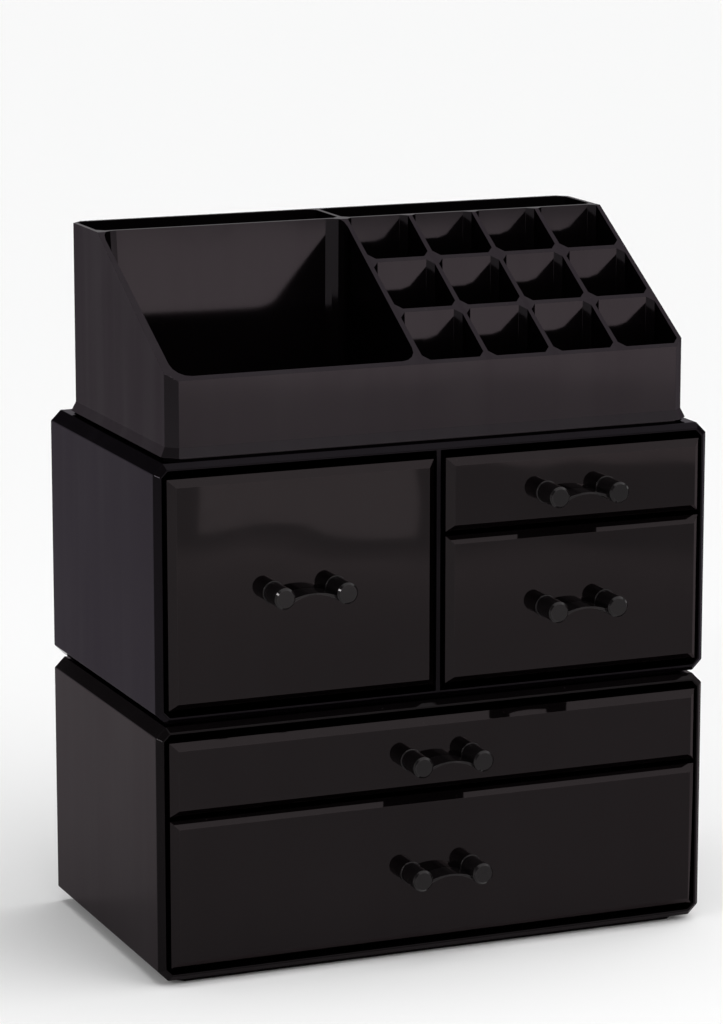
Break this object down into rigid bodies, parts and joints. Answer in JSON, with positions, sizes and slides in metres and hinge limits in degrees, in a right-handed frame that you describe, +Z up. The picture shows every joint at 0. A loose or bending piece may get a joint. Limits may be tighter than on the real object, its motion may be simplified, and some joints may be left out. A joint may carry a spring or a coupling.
{
  "type": "stacking makeup organizer",
  "caption": "Stacking desktop makeup organizer: two chamfered drawer cabinets under an open tray with sloping slots, a wide well and a deep back row for brushes.",
  "frame": {"origin": "centre of the bounding box, on the surface that the bottom cabinet's foot stands on", "axes": "+Z up, -Y towards the person who opens the drawers, +X to that person's right"},
  "size_m": [0.24, 0.1452, 0.2912],
  "materials": {
    "cabinet_plastic": "gloss black, moulded",
    "tray_plastic": "gloss black, moulded, a little duller than the drawers",
    "drawer_plastic": "gloss black, polished fronts",
    "handle_plastic": "gloss black"
  },
  "bodies": {
    "bottom_unit": {"bottom_cabinet": "cabinet_plastic"},
    "middle_unit": {"middle_cabinet": "cabinet_plastic"},
    "tray_unit": {"top_tray": "tray_plastic"},
    "bottom_shallow": {"bottom_shallow_drawer": "drawer_plastic", "bottom_shallow_handle": "handle_plastic"},
    "bottom_deep": {"bottom_deep_drawer": "drawer_plastic", "bottom_deep_handle": "handle_plastic"},
    "middle_shallow": {"middle_shallow_drawer": "drawer_plastic", "middle_shallow_handle": "handle_plastic"},
    "middle_deep": {"middle_deep_drawer": "drawer_plastic", "middle_deep_handle": "handle_plastic"},
    "middle_tall": {"middle_tall_drawer": "drawer_plastic", "middle_tall_handle": "handle_plastic"}
  },
  "joints": [
    {"name": "middle_cabinet_lift", "type": "slide", "parent": "bottom_unit", "child": "middle_unit", "axis": [0, 0, 1], "range_m": [0, 0.06]},
    {"name": "tray_lift", "type": "slide", "parent": "middle_unit", "child": "tray_unit", "axis": [0, 0, 1], "range_m": [0, 0.06]},
    {"name": "bottom_shallow_drawer_slide", "type": "slide", "parent": "bottom_unit", "child": "bottom_shallow", "axis": [0, -1, 0], "range_m": [0, 0.1]},
    {"name": "bottom_deep_drawer_slide", "type": "slide", "parent": "bottom_unit", "child": "bottom_deep", "axis": [0, -1, 0], "range_m": [0, 0.1]},
    {"name": "middle_shallow_drawer_slide", "type": "slide", "parent": "middle_unit", "child": "middle_shallow", "axis": [0, -1, 0], "range_m": [0, 0.1]},
    {"name": "middle_deep_drawer_slide", "type": "slide", "parent": "middle_unit", "child": "middle_deep", "axis": [0, -1, 0], "range_m": [0, 0.1]},
    {"name": "middle_tall_drawer_slide", "type": "slide", "parent": "middle_unit", "child": "middle_tall", "axis": [0, -1, 0], "range_m": [0, 0.1]}
  ]
}
